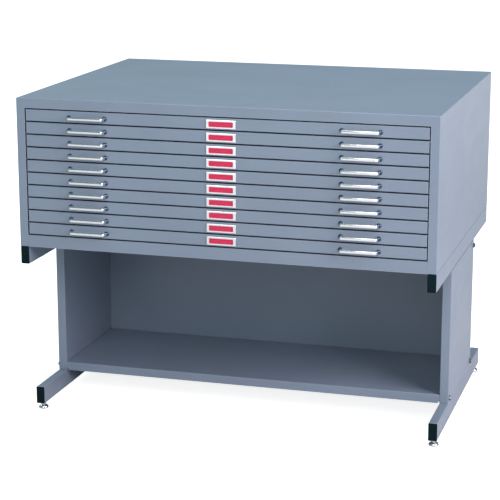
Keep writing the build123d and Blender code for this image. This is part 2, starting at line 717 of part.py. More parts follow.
# Levelling glides: a plated foot that turns on a threaded stem with a wrench hex.
for end, inwards, face_y in ends:
    for side, way in sides:
        glide_x = way * rail_centre_x
        glide_y = face_y + inwards * (foot_setback + glide_inset)
        with BuildPart() as glide:
            with BuildSketch(Plane.XZ.offset(-glide_y)):
                with BuildLine():
                    Polyline(
                        (glide_x, 0),
                        (glide_x + glide_foot_radius - 1, 0),
                        (glide_x + glide_foot_radius, 1),
                        (glide_x + glide_foot_radius, glide_foot_rim),
                        (glide_x + glide_neck_radius, glide_foot_height - 2),
                        (glide_x + glide_neck_radius, glide_foot_height),
                        (glide_x, glide_foot_height),
                        close=True,
                    )
                make_face()
            revolve(axis=Axis((glide_x, glide_y, 0), (0, 0, 1)))
        with BuildPart() as stem:
            hex_top = foot_bottom - glide_stop_gap
            with BuildSketch(Plane.XY.offset(glide_foot_height)):
                with Locations((glide_x, glide_y)):
                    RegularPolygon(glide_hex_across_flats / 2, 6, major_radius=False)
            extrude(amount=hex_top - glide_foot_height)
            with BuildSketch(Plane.XY.offset(hex_top)):
                with Locations((glide_x, glide_y)):
                    Circle(stem_radius)
            extrude(amount=stem_length)
        glide_group = Compound(children=[*glide.part.solids(), *stem.part.solids()])
        glide_group.label = f"glide_{end}_{side}"
        export_step(glide_group, f"parts/glide_{end}_{side}.step")
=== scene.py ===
"""Looks of a ten-drawer flat file cabinet on its raised base.

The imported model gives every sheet-metal part, tube, roller and glide its shape and its place.
This file dresses those parts with their finishes, adds the pieces that are too fine for the
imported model, and stands the cabinet on a pale studio floor. Everything is in metres.
"""

import json
import logging
import math
from dataclasses import dataclass, field
from enum import Enum
from typing import Callable

import bmesh
import bpy
from mathutils import Matrix, Vector


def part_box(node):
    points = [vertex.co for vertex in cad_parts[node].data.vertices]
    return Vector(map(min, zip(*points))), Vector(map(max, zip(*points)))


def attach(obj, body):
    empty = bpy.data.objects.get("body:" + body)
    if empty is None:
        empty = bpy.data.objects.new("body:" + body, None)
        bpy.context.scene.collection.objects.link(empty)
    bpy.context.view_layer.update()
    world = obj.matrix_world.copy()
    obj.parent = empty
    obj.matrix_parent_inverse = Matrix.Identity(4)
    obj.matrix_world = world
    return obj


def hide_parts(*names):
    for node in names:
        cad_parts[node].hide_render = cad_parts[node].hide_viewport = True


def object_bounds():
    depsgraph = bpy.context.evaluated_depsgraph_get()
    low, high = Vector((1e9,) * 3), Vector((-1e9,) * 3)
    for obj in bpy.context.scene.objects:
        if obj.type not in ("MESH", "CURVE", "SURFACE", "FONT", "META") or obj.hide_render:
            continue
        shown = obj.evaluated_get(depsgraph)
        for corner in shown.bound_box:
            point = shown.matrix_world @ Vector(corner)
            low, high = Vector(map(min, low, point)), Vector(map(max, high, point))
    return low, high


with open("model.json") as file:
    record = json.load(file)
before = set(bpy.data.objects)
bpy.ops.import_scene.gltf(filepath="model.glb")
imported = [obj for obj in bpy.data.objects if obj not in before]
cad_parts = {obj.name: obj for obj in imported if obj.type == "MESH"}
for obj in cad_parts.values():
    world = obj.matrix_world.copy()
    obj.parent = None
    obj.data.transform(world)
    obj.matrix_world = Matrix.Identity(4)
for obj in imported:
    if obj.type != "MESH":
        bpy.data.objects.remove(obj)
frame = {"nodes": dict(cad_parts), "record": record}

CAD_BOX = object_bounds()
MM = 0.001
Colour = tuple[float, float, float, float]
Value = bpy.types.NodeSocket | float
Paint = bpy.types.NodeSocket | Colour
BLACK: Colour = (0.0, 0.0, 0.0, 1.0)
WHITE: Colour = (1.0, 1.0, 1.0, 1.0)
Ring = tuple[float, float] | Callable[[float], tuple[float, float]]

logging.basicConfig(level=logging.INFO, format="%(message)s")
log = logging.getLogger("flat_file")


# ---------------------------------------------------------------- shader helpers


def place(
    tree: bpy.types.NodeTree, kind: str, inputs: dict[str | int, object] | None = None, **options: object
) -> bpy.types.Node:
    """Adds one node to a tree.

    Args:
        tree: the node tree that gets the node.
        kind: the node's type name.
        inputs: socket name or number, with a value to set or an output socket to link.
        options: the node's own settings.

    Returns:
        The new node.
    """
    node = tree.nodes.new(kind)
    for name, value in options.items():
        setattr(node, name, value)
    for name, value in (inputs or {}).items():
        if isinstance(value, bpy.types.NodeSocket):
            tree.links.new(value, node.inputs[name])
        else:
            node.inputs[name].default_value = value
    return node


def number(tree: bpy.types.NodeTree, operation: str, *values: Value) -> bpy.types.NodeSocket:
    """Adds a Math node.

    Args:
        tree: the node tree.
        operation: the Math node's operation.
        values: numbers or sockets, in order.

    Returns:
        The node's result.
    """
    return place(tree, "ShaderNodeMath", dict(enumerate(values)), operation=operation).outputs[0]


def blend_colours(
    tree: bpy.types.NodeTree, factor: Value, first: Paint, second: Paint
) -> bpy.types.NodeSocket:
    """Adds a colour Mix node.

    Args:
        tree: the node tree.
        factor: how much of the second colour shows.
        first: the colour or socket below.
        second: the colour or socket above.

    Returns:
        The mixed colour.
    """
    mix = place(tree, "ShaderNodeMix", data_type="RGBA", blend_type="MIX", clamp_factor=True)
    for socket, value in ((mix.inputs[0], factor), (mix.inputs[6], first), (mix.inputs[7], second)):
        if isinstance(value, bpy.types.NodeSocket):
            tree.links.new(value, socket)
        else:
            socket.default_value = value
    return mix.outputs[2]


def toned(colour: Colour, gain: float, lift: float = 0.0) -> Colour:
    """Gives a colour made darker or lighter, and no lighter than white."""
    return tuple(min(1.0, gain * part + lift) for part in colour[:3]) + (1.0,)


def soft_step(tree: bpy.types.NodeTree, value: Value, low: Value, high: Value) -> bpy.types.NodeSocket:
    """Turns a value into a mask that rises smoothly from 0 at low to 1 at high."""
    wanted = {"Value": value, "From Min": low, "From Max": high, "To Min": 0.0, "To Max": 1.0}
    return place(tree, "ShaderNodeMapRange", wanted, interpolation_type="SMOOTHSTEP").outputs[0]


class ShaderGroup:
    """A node group with named sockets, built once and placed in many materials."""

    def __init__(self, name: str, inputs: dict[str, float], outputs: list[str]) -> None:
        """Makes the group and its sockets.

        Args:
            name: the group's name.
            inputs: socket name and default value.
            outputs: the output sockets' names, all numbers.
        """
        self.tree = bpy.data.node_groups.new(name, "ShaderNodeTree")
        for socket, default in inputs.items():
            made = self.tree.interface.new_socket(socket, in_out="INPUT", socket_type="NodeSocketFloat")
            made.default_value = default
        for socket in outputs:
            self.tree.interface.new_socket(socket, in_out="OUTPUT", socket_type="NodeSocketFloat")
        self.given = self.tree.nodes.new("NodeGroupInput").outputs
        self.result = self.tree.nodes.new("NodeGroupOutput").inputs
        self.here = place(self.tree, "ShaderNodeTexCoord").outputs["Object"]

    def noise(self, scale: Value, detail: float, roughness: float = 0.5) -> bpy.types.NodeSocket:
        """Adds a noise texture in the cabinet's own coordinates and gives its value."""
        wanted = {"Vector": self.here, "Scale": scale, "Detail": detail, "Roughness": roughness}
        return place(self.tree, "ShaderNodeTexNoise", wanted).outputs[0]

    def give(self, name: str, value: bpy.types.NodeSocket) -> None:
        """Joins a value to one of the group's outputs."""
        self.tree.links.new(value, self.result[name])

    def put_in(self, tree: bpy.types.NodeTree, **values: float) -> bpy.types.Node:
        """Places the group in a material.

        Args:
            tree: the material's node tree.
            values: the group's inputs that differ from their defaults, with _ for a space.

        Returns:
            The group's node.
        """
        node = place(tree, "ShaderNodeGroup", node_tree=self.tree)
        for name, value in values.items():
            node.inputs[name.replace("_", " ")].default_value = value
        return node


class SurfaceEffects:
    """The effects that several finishes share."""

    def __init__(self) -> None:
        """Builds each group once."""
        self.peel = self._orange_peel()
        self.speckle = self._speckle()
        self.edges = self._edge_wear_and_highlight()
        self.handling = self._handling()
        self.scratches = self._scratches()
        self.crevice_shade = self._crevice_shade()

    @staticmethod
    def _orange_peel() -> ShaderGroup:
        """Builds the small soft dimples of sprayed and baked enamel.

        Returns:
            The group.
        """
        fineness = 4.2
        group = ShaderGroup("orange_peel", {"Scale": 420.0, "Fine Share": 0.3}, ["Height"])
        coarse = group.noise(group.given["Scale"], 1.5)
        fine_scale = number(group.tree, "MULTIPLY", group.given["Scale"], fineness)
        fine = number(group.tree, "MULTIPLY", group.noise(fine_scale, 1.0), group.given["Fine Share"])
        group.give("Height", number(group.tree, "ADD", coarse, fine))
        return group

    @staticmethod
    def _speckle() -> ShaderGroup:
        """Builds fine flecks and broad soft mottling.

        Returns:
            The group.
        """
        group = ShaderGroup("speckle", {"Fleck Scale": 900.0, "Cloud Scale": 5.0}, ["Flecks", "Clouds"])
        flecks = group.noise(group.given["Fleck Scale"], 2.0, 0.6)
        group.give("Flecks", soft_step(group.tree, flecks, 0.36, 0.64))
        clouds = group.noise(group.given["Cloud Scale"], 3.0)
        group.give("Clouds", soft_step(group.tree, clouds, 0.3, 0.7))
        return group

    @staticmethod
    def _edge_wear_and_highlight() -> ShaderGroup:
        """Builds a mask along folds and cut edges, broken up by noise; the enamel paints a highlight with it,
        the plastic rubbed wear.

        Returns:
            The group.
        """
        flat_below, folded_above = 0.01, 0.16
        group = ShaderGroup("edge_wear_and_highlight", {"Width": 1.6 * MM, "Breakup": 0.35}, ["Mask"])
        tree = group.tree
        rounded = place(tree, "ShaderNodeBevel", {"Radius": group.given["Width"]}, samples=6)
        flat = place(tree, "ShaderNodeNewGeometry").outputs["Normal"]
        wanted = {0: rounded.outputs[0], 1: flat}
        along = place(tree, "ShaderNodeVectorMath", wanted, operation="DOT_PRODUCT").outputs["Value"]
        turn = soft_step(tree, number(tree, "SUBTRACT", 1.0, along), flat_below, folded_above)
        patches = soft_step(tree, group.noise(60.0, 3.0), 0.35, 0.6)
        kept = number(tree, "SUBTRACT", 1.0, group.given["Breakup"])
        patchy = number(tree, "MULTIPLY_ADD", patches, group.given["Breakup"], kept)
        group.give("Mask", number(tree, "MULTIPLY", turn, patchy))
        return group

    @staticmethod
    def _handling() -> ShaderGroup:
        """Builds the smears left by hands and cloths, which change the gloss a little.

        Returns:
            The group.
        """
        upright_squeeze = 2.6
        group = ShaderGroup("handling", {"Scale": 9.0}, ["Smears"])
        tree = group.tree
        wanted = {"Vector": group.here, "Scale": (1.0, 1.0, upright_squeeze)}
        stretched = place(tree, "ShaderNodeMapping", wanted).outputs[0]
        wanted = {"Vector": stretched, "Scale": group.given["Scale"], "Detail": 5.0, "Distortion": 1.2}
        smears = place(tree, "ShaderNodeTexNoise", wanted).outputs[0]
        group.give("Smears", soft_step(tree, smears, 0.35, 0.7))
        return group

    @staticmethod
    def _scratches() -> ShaderGroup:
        """Builds hairline polishing marks that run along X.

        Returns:
            The group.
        """
        drawn_out = 0.02
        group = ShaderGroup("hairlines", {"Scale": 500.0}, ["Lines"])
        tree = group.tree
        wanted = {"Vector": group.here, "Scale": (drawn_out, 1.0, 1.0)}
        stretched = place(tree, "ShaderNodeMapping", wanted).outputs[0]
        wanted = {"Vector": stretched, "Scale": group.given["Scale"], "Detail": 4.0}
        group.give("Lines", place(tree, "ShaderNodeTexNoise", wanted).outputs[0])
        return group

    @staticmethod
    def _crevice_shade() -> ShaderGroup:
        """Builds a mask of painted shade that fills narrow gaps and inner corners, darkening them where
        little light reaches.

        Returns:
            The group.
        """
        closed = 0.3
        group = ShaderGroup("crevice_shade", {"Reach": 6.0 * MM, "Open": 0.72}, ["Mask"])
        tree = group.tree
        wanted = {"Distance": group.given["Reach"]}
        around = place(tree, "ShaderNodeAmbientOcclusion", wanted, samples=8).outputs["AO"]
        clear = soft_step(tree, around, closed, group.given["Open"])
        group.give("Mask", number(tree, "SUBTRACT", 1.0, clear))
        return group


# ---------------------------------------------------------------- finishes


@dataclass(frozen=True)
class Finish:
    """One finish, with what every finish has."""

    name: str
    colour: Colour
    roughness: float

    def sheet(self) -> tuple[bpy.types.Material, bpy.types.NodeTree, bpy.types.Node]:
        """Starts a material.

        Returns:
            The material, its node tree and its surface shader.
        """
        material = bpy.data.materials.new(self.name)
        material.use_nodes = True
        material.diffuse_color = self.colour
        return material, material.node_tree, material.node_tree.nodes["Principled BSDF"]

    def join(
        self, tree: bpy.types.NodeTree, shader: bpy.types.Node, **links: bpy.types.NodeSocket
    ) -> None:
        """Links values to the shader's sockets, each named with _ for a space."""
        for name, value in links.items():
            tree.links.new(value, shader.inputs[name.replace("_", " ")])

    def bump(
        self, tree: bpy.types.NodeTree, shader: bpy.types.Node, height: bpy.types.NodeSocket, depth: float
    ) -> None:
        """Gives the surface small relief, depth metres deep."""
        made = place(tree, "ShaderNodeBump", {"Height": height, "Distance": depth, "Strength": 1.0})
        tree.links.new(made.outputs[0], shader.inputs["Normal"])

    def varied(self, tree: bpy.types.NodeTree, value: Value, spread: float) -> bpy.types.NodeSocket:
        """Gives a roughness that moves with a 0 to 1 value, spread above and below the finish's own."""
        return number(tree, "MULTIPLY_ADD", value, 2 * spread, self.roughness - spread)


@dataclass(frozen=True)
class BakedEnamel(Finish):
    """Semi-gloss baked enamel on sheet steel."""

    fleck: Colour = (0.5, 0.5, 0.5, 1.0)
    # painted highlight along folds and cut edges, partly standing for thinner enamel there
    edge_highlight_colour: Colour = (0.5, 0.58, 0.68, 1.0)
    edge_highlight_strength: float = 0.5
    # painted shade: the colour and strength that darken gaps and inner corners
    crevice_shade_colour: Colour = (0.01, 0.014, 0.018, 1.0)
    peel_depth: float = 0.02 * MM
    mottling: float = 0.03
    fleck_share: float = 0.16
    crevice_shade_strength: float = 0.85
    smear_scale: float = 3.0
    gloss_spread: float = 0.02
    coat: float = 0.12
    coat_roughness: float = 0.22

    def build(self, effects: SurfaceEffects) -> bpy.types.Material:
        """Builds the paint: mottled colour, folds paled by a painted highlight and thinner enamel, gaps
        darkened by painted shade, dimpled gloss.

        Args:
            effects: the shared groups.

        Returns:
            The material.
        """
        material, tree, shader = self.sheet()
        speckle = effects.speckle.put_in(tree)
        darker, lighter = toned(self.colour, 1 - self.mottling), toned(self.colour, 1 + self.mottling)
        base = blend_colours(tree, speckle.outputs["Clouds"], darker, lighter)
        flecked = number(tree, "MULTIPLY", speckle.outputs["Flecks"], self.fleck_share)
        base = blend_colours(tree, flecked, base, self.fleck)
        # painted highlight: folds and cut edges take a pale colour, partly standing for thinner enamel there
        edges = effects.edges.put_in(tree)
        paled = number(tree, "MULTIPLY", edges.outputs["Mask"], self.edge_highlight_strength)
        base = blend_colours(tree, paled, base, self.edge_highlight_colour)
        # painted shade: narrow gaps and inner corners darkened nearly to black
        crevice_shade = effects.crevice_shade.put_in(tree).outputs["Mask"]
        shaded = number(tree, "MULTIPLY", crevice_shade, self.crevice_shade_strength)
        base = blend_colours(tree, shaded, base, self.crevice_shade_colour)
        smears = effects.handling.put_in(tree, Scale=self.smear_scale).outputs["Smears"]
        self.join(tree, shader, Base_Color=base, Roughness=self.varied(tree, smears, self.gloss_spread))
        self.bump(tree, shader, effects.peel.put_in(tree).outputs["Height"], self.peel_depth)
        shader.inputs["Coat Weight"].default_value = self.coat
        shader.inputs["Coat Roughness"].default_value = self.coat_roughness
        return material


@dataclass(frozen=True)
class BrightPlate(Finish):
    """Bright plated metal with hairline polishing marks."""

    hairlines: float = 500.0
    smear_scale: float = 70.0
    dulling: float = 0.82
    haze: float = 0.35
    line_share: float = 0.5
    gloss_spread: float = 0.05
    line_depth: float = 0.004 * MM

    def build(self, effects: SurfaceEffects) -> bpy.types.Material:
        """Builds the plate.

        Args:
            effects: the shared groups.

        Returns:
            The material.
        """
        material, tree, shader = self.sheet()
        lines = effects.scratches.put_in(tree, Scale=self.hairlines).outputs["Lines"]
        smears = effects.handling.put_in(tree, Scale=self.smear_scale).outputs["Smears"]
        hazed = number(tree, "MULTIPLY", smears, self.haze)
        smeared = number(tree, "MULTIPLY", smears, 1 - self.line_share)
        marked = number(tree, "MULTIPLY_ADD", lines, self.line_share, smeared)
        self.join(
            tree,
            shader,
            Base_Color=blend_colours(tree, hazed, self.colour, toned(self.colour, self.dulling)),
            Roughness=self.varied(tree, marked, self.gloss_spread),
        )
        self.bump(tree, shader, lines, self.line_depth)
        shader.inputs["Metallic"].default_value = 1.0
        return material


@dataclass(frozen=True)
class ZincPlate(Finish):
    """Dull zinc plate with a faint crystal pattern."""

    crystal_scale: float = 130.0
    darkest: float = 0.8
    brightest: float = 1.25
    edge_width: float = 0.6 * MM
    gloss_spread: float = 0.08
    grain_scale: float = 900.0
    grain_depth: float = 0.008 * MM

    def build(self, effects: SurfaceEffects) -> bpy.types.Material:
        """Builds the plate.

        Args:
            effects: the shared groups.

        Returns:
            The material.
        """
        material, tree, shader = self.sheet()
        here = place(tree, "ShaderNodeTexCoord").outputs["Object"]
        crystals = place(tree, "ShaderNodeTexVoronoi", {"Vector": here, "Scale": self.crystal_scale})
        tone = place(tree, "ShaderNodeSeparateColor", {0: crystals.outputs["Color"]}).outputs[0]
        edges = effects.edges.put_in(tree, Width=self.edge_width)
        base = blend_colours(tree, tone, toned(self.colour, self.darkest), self.colour)
        base = blend_colours(tree, edges.outputs["Mask"], base, toned(self.colour, self.brightest))
        self.join(tree, shader, Base_Color=base, Roughness=self.varied(tree, tone, self.gloss_spread))
        grain = effects.peel.put_in(tree, Scale=self.grain_scale).outputs["Height"]
        self.bump(tree, shader, grain, self.grain_depth)
        shader.inputs["Metallic"].default_value = 1.0
        return material


@dataclass(frozen=True)
class MouldedPlastic(Finish):
    """Moulded plastic with a fine spark-eroded texture."""

    grain_scale: float = 1400.0
    grain_depth: float = 0.03 * MM
    gloss: float = 0.5
    cloud_scale: float = 40.0
    worn_gain: float = 1.3
    worn_lift: float = 0.004
    edge_width: float = 0.8 * MM
    rubbing: float = 0.5
    dust: float = 0.25
    gloss_spread: float = 0.06

    def build(self, effects: SurfaceEffects) -> bpy.types.Material:
        """Builds the plastic.

        Args:
            effects: the shared groups.

        Returns:
            The material.
        """
        material, tree, shader = self.sheet()
        speckle = effects.speckle.put_in(tree, Fleck_Scale=self.grain_scale, Cloud_Scale=self.cloud_scale)
        paled = toned(self.colour, self.worn_gain, self.worn_lift)
        edges = effects.edges.put_in(tree, Width=self.edge_width)
        rubbed = number(tree, "MULTIPLY", edges.outputs["Mask"], self.rubbing)
        dusty = number(tree, "MULTIPLY", speckle.outputs["Clouds"], self.dust)
        base = blend_colours(tree, dusty, self.colour, paled)
        base = blend_colours(tree, rubbed, base, paled)
        roughness = self.varied(tree, speckle.outputs["Clouds"], self.gloss_spread)
        self.join(tree, shader, Base_Color=base, Roughness=roughness)
        self.bump(tree, shader, speckle.outputs["Flecks"], self.grain_depth)
        shader.inputs["Specular IOR Level"].default_value = self.gloss
        return material


@dataclass(frozen=True)
class CardStock(Finish):
    """Coloured card with fine ruled lines across it."""

    line_colour: Colour = (0.69, 0.13, 0.26, 1.0)
    line_pitch: float = 3.4 * MM
    line_share: float = 0.32
    line_softness: float = 0.22
    line_strength: float = 0.5
    ink_scale: float = 260.0
    fibre_scale: float = 2600.0
    cloud_scale: float = 90.0
    paler_gain: float = 1.12
    paler_lift: float = 0.02
    fibre_share: float = 0.2
    gloss_spread: float = 0.05
    fibre_depth: float = 0.01 * MM
    gloss: float = 0.2

    def build(self, effects: SurfaceEffects) -> bpy.types.Material:
        """Builds the card.

        Args:
            effects: the shared groups.

        Returns:
            The material.
        """
        material, tree, shader = self.sheet()
        here = place(tree, "ShaderNodeTexCoord").outputs["UV"]
        height = place(tree, "ShaderNodeSeparateXYZ", {0: here}).outputs[1]
        phase = number(tree, "FRACT", number(tree, "DIVIDE", height, self.line_pitch))
        middle = number(tree, "ABSOLUTE", number(tree, "SUBTRACT", phase, 0.5))
        lines = soft_step(tree, middle, self.line_share, self.line_share - self.line_softness)
        wanted = {"Vector": here, "Scale": self.ink_scale, "Detail": 3.0}
        ink = place(tree, "ShaderNodeTexNoise", wanted).outputs[0]
        printed = number(tree, "MULTIPLY", lines, soft_step(tree, ink, 0.3, 0.6))
        ruled = number(tree, "MULTIPLY", printed, self.line_strength)
        base = blend_colours(tree, ruled, self.colour, self.line_colour)
        fibres = effects.speckle.put_in(tree, Fleck_Scale=self.fibre_scale, Cloud_Scale=self.cloud_scale)
        fibrous = number(tree, "MULTIPLY", fibres.outputs["Flecks"], self.fibre_share)
        base = blend_colours(tree, fibrous, base, toned(self.colour, self.paler_gain, self.paler_lift))
        roughness = self.varied(tree, fibres.outputs["Clouds"], self.gloss_spread)
        self.join(tree, shader, Base_Color=base, Roughness=roughness)
        self.bump(tree, shader, fibres.outputs["Flecks"], self.fibre_depth)
        shader.inputs["Specular IOR Level"].default_value = self.gloss
        return material


@dataclass(frozen=True)
class StudioFloor(Finish):
    """A plain, pale, matt studio floor that glows far beyond the cabinet.

    The lift brightens it for the camera alone, so its shadows look fainter than they are.
    """

    glow_from: float = 2.2
    glow_to: float = 7.0
    glow: float = 0.7
    lift: float = 0.85
    cloud_scale: float = 0.8
    darkest: float = 0.99
    gloss: float = 0.1

    def build(self, effects: SurfaceEffects) -> bpy.types.Material:
        """Builds the floor's paint.

        Args:
            effects: the shared groups.

        Returns:
            The material.
        """
        material, tree, shader = self.sheet()
        clouds = effects.speckle.put_in(tree, Cloud_Scale=self.cloud_scale).outputs["Clouds"]
        here = place(tree, "ShaderNodeTexCoord").outputs["Object"]
        away = place(tree, "ShaderNodeVectorMath", {0: here}, operation="LENGTH").outputs["Value"]
        lit = number(tree, "MULTIPLY", soft_step(tree, away, self.glow_from, self.glow_to), self.glow)
        seen = place(tree, "ShaderNodeLightPath").outputs["Is Camera Ray"]
        lifted = number(tree, "MULTIPLY_ADD", seen, self.lift, lit)
        self.join(
            tree,
            shader,
            Base_Color=blend_colours(tree, clouds, toned(self.colour, self.darkest), self.colour),
            Emission_Color=blend_colours(tree, lifted, BLACK, WHITE),
        )
        shader.inputs["Emission Strength"].default_value = 1.0
        shader.inputs["Roughness"].default_value = self.roughness
        shader.inputs["Specular IOR Level"].default_value = self.gloss
        return material


class Coat(Enum):
    """The finishes of the cabinet's parts, by the name of the record's material slot.

    The pulls' feet take a painted reflection: bright plate given a dark colour that stands for the slate
    front they mirror; it belongs to the slot of the bright plate.
    """

    ENAMEL = "enamel"
    TRAY_ENAMEL = "tray_enamel"
    RUNNER_STEEL = "runner_steel"
    ROLLER_NYLON = "roller_nylon"
    BRIGHT_PLATE = "bright_plate"
    GLIDE_PLATE = "glide_plate"
    BOLT_STEEL = "bolt_steel"
    CAP_PLASTIC = "cap_plastic"
    PAINTED_REFLECTION_PLATE = "painted_reflection_plate"


class PaintShop:
    """Builds every finish once and dresses parts with them."""

    def __init__(self) -> None:
        """Builds the finishes."""
        effects = SurfaceEffects()
        slate: Colour = (0.166, 0.211, 0.274, 1.0)
        flecks: Colour = (0.23, 0.275, 0.345, 1.0)
        # pale: the painted highlight colour of the enamel's folds, partly thinner enamel
        pale: Colour = (0.46, 0.54, 0.66, 1.0)
        recipes: dict[Coat, Finish] = {
            Coat.ENAMEL: BakedEnamel("slate_enamel", slate, 0.4, flecks, pale, 0.7),
            Coat.TRAY_ENAMEL: BakedEnamel("tray_enamel", slate, 0.44, flecks, pale, 0.35),
            Coat.RUNNER_STEEL: ZincPlate("runner_zinc", (0.62, 0.63, 0.65, 1.0), 0.38),
            Coat.ROLLER_NYLON: MouldedPlastic("roller_nylon", (0.78, 0.76, 0.7, 1.0), 0.4, 900.0, 0.01 * MM),
            Coat.BRIGHT_PLATE: BrightPlate("bright_plate", (0.9, 0.9, 0.89, 1.0), 0.14),
            Coat.GLIDE_PLATE: BrightPlate("glide_plate", (0.78, 0.78, 0.78, 1.0), 0.2, 300.0),
            # painted reflection: the pulls' feet darkened as if mirroring the slate drawer front
            Coat.PAINTED_REFLECTION_PLATE: BrightPlate("painted_reflection_plate", (0.05, 0.08, 0.125, 1.0), 0.22, 300.0),
            Coat.BOLT_STEEL: ZincPlate("bolt_zinc", (0.2, 0.23, 0.28, 1.0), 0.3, 400.0),
            Coat.CAP_PLASTIC: MouldedPlastic("cap_plastic", (0.003, 0.0115, 0.0135, 1.0), 0.6, gloss=0.04),
        }
        self.coats = {coat: recipe.build(effects) for coat, recipe in recipes.items()}
        self.card = CardStock("card_stock", (0.5, 0.008, 0.05, 1.0), 0.5).build(effects)
        self.floor = StudioFloor("studio_floor", (0.6, 0.6, 0.6, 1.0), 0.9).build(effects)

    def dress(self, thing: bpy.types.Object, *materials: bpy.types.Material) -> None:
        """Gives an object its materials in place of what it came with.

        Args:
            thing: the object.
            materials: its materials, in the order of its faces' material numbers.
        """
        if thing.data.materials:
            thing.data.materials.clear()
        for material in materials:
            thing.data.materials.append(material)

    def dress_node(self, name: str, *extra: Coat) -> bpy.types.Object:
        """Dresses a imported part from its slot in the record.

        Args:
            name: the part's node.
            extra: further finishes that some of its faces take.

        Returns:
            The part's object.
        """
        slots = {part["node"]: part["material_slot"] for part in frame["record"]["subparts"]}
        coats = (Coat(slots[name]), *extra)
        self.dress(frame["nodes"][name], *(self.coats[coat] for coat in coats))
        return frame["nodes"][name]


# ---------------------------------------------------------------- mesh helpers

CROWN_SHARE = 0.48  # radius of a hexagon's flat end, as a share of its width across the flats
CROWN_ANGLE = 30.0  # degrees that the turned corners slope
THREAD_DEPTH = 0.42  # as a share of the pitch
ROWS_PER_TURN = 4  # rings of a thread's mesh in one pitch


def mesh_object(name: str, shape: bmesh.types.BMesh, smooth_below: float = 35.0) -> bpy.types.Object:
    """Turns a bmesh into an object in the scene.

    Args:
        name: the object's name.
        shape: the finished bmesh, which is freed.
        smooth_below: edges that turn less than this, in degrees, are shaded smooth.

    Returns:
        The new object.
    """
    bmesh.ops.recalc_face_normals(shape, faces=shape.faces)
    mesh = bpy.data.meshes.new(name)
    for edge in shape.edges:
        edge.smooth = len(edge.link_faces) == 2 and edge.calc_face_angle(0.0) < math.radians(smooth_below)
    for face in shape.faces:
        face.smooth = True
    shape.to_mesh(mesh)
    shape.free()
    made = bpy.data.objects.new(name, mesh)
    bpy.context.scene.collection.objects.link(made)
    return made


def lathe(
    shape: bmesh.types.BMesh, profile: list[Ring], place_at: Matrix, steps: int = 48, closed: bool = False
) -> None:
    """Adds a turned form to a bmesh.

    Args:
        shape: the bmesh that gets the form.
        profile: the rings from one end to the other, each a (radius, height) pair, or a function
            that gives one for a turn in radians.
        place_at: where the form goes; its axis is the matrix's Z.
        steps: how many faces go round.
        closed: whether the last ring joins the first, as on a washer.
    """
    rings: list[list[bmesh.types.BMVert]] = []
    for ring in profile:
        goes_round = callable(ring) or ring[0] > 0
        turns = [2 * math.pi * step / steps for step in range(steps if goes_round else 1)]
        places = [ring(turn) if callable(ring) else ring for turn in turns]
        corners = [
            Vector((radius * math.cos(turn), radius * math.sin(turn), height))
            for turn, (radius, height) in zip(turns, places)
        ]
        rings.append([shape.verts.new(place_at @ corner) for corner in corners])
    for lower, upper in zip(rings, rings[1:] + (rings[:1] if closed else [])):
        for step in range(steps):
            after = (step + 1) % steps
            corners = [lower[step % len(lower)], lower[after % len(lower)]]
            corners += [upper[after % len(upper)], upper[step % len(upper)]]
            distinct = list(dict.fromkeys(corners))
            if len(distinct) > 2:
                shape.faces.new(distinct)


def hex_block(
    shape: bmesh.types.BMesh, across: float, low: float, high: float, place_at: Matrix, bore: float = 0.0
) -> None:
    """Adds a wrench hexagon whose corners are turned off at both ends.

    Args:
        shape: the bmesh that gets the form.
        across: the width across the flats.
        low: the height of its lower face.
        high: the height of its upper face.
        place_at: where the form goes; its axis is the matrix's Z.
        bore: the radius of the hole through it, or 0.
    """
    crown = CROWN_SHARE * across
    slope = math.tan(math.radians(CROWN_ANGLE))
    sixth = math.pi / 3

    def side(level: float, way: int) -> Ring:
        """Gives the ring where the flats meet the turned cone.

        Args:
            level: the height of the end that the cone belongs to.
            way: 1 at the upper end, -1 at the lower.

        Returns:
            A function of the turn that gives the ring's radius and height.
        """

        def at(turn: float) -> tuple[float, float]:
            """Gives the ring's radius and height at a turn."""
            reach = across / 2 / math.cos((turn + sixth / 2) % sixth - sixth / 2)
            return reach, level - way * slope * (reach - crown)

        return at

    profile: list[Ring] = [(bore, low), (crown, low), side(low, -1)]
    profile += [side(high, 1), (crown, high), (bore, high)]
    lathe(shape, profile, place_at, closed=bore > 0)


def thread(
    shape: bmesh.types.BMesh, radius: float, pitch: float, low: float, high: float, place_at: Matrix
) -> None:
    """Adds a screw thread with closed ends.

    Args:
        shape: the bmesh that gets the form.
        radius: the radius over the thread's crests.
        pitch: the rise of one turn.
        low: the height of its lower end.
        high: the height of its upper end.
        place_at: where the form goes; its axis is the matrix's Z.
    """
    depth = THREAD_DEPTH * pitch
    rows = round(ROWS_PER_TURN * (high - low) / pitch)

    def ring(level: float) -> Ring:
        """Gives the thread's outline at a height.

        Args:
            level: the height.

        Returns:
            A function of the turn that gives the outline's radius and height.
        """

        def at(turn: float) -> tuple[float, float]:
            """Gives the outline's radius and height at a turn."""
            phase = (level / pitch - turn / (2 * math.pi)) % 1.0
            return radius - depth * abs(2 * phase - 1), level

        return at

    turns = [ring(low + (high - low) * row / rows) for row in range(rows + 1)]
    lathe(shape, [(0.0, low), *turns, (0.0, high)], place_at, steps=24)


# ---------------------------------------------------------------- the cabinet


@dataclass
class Cabinet:
    """The fixed parts: the case with its runner racks, and the raised base."""

    shop: PaintShop
    body: str = "cabinet"

    def build(self) -> None:
        """Dresses every fixed part."""
        for name in frame["record"]["behaviour"]["bodies"][self.body]:
            self.shop.dress_node(name)
            log.info("dressed %s", name)


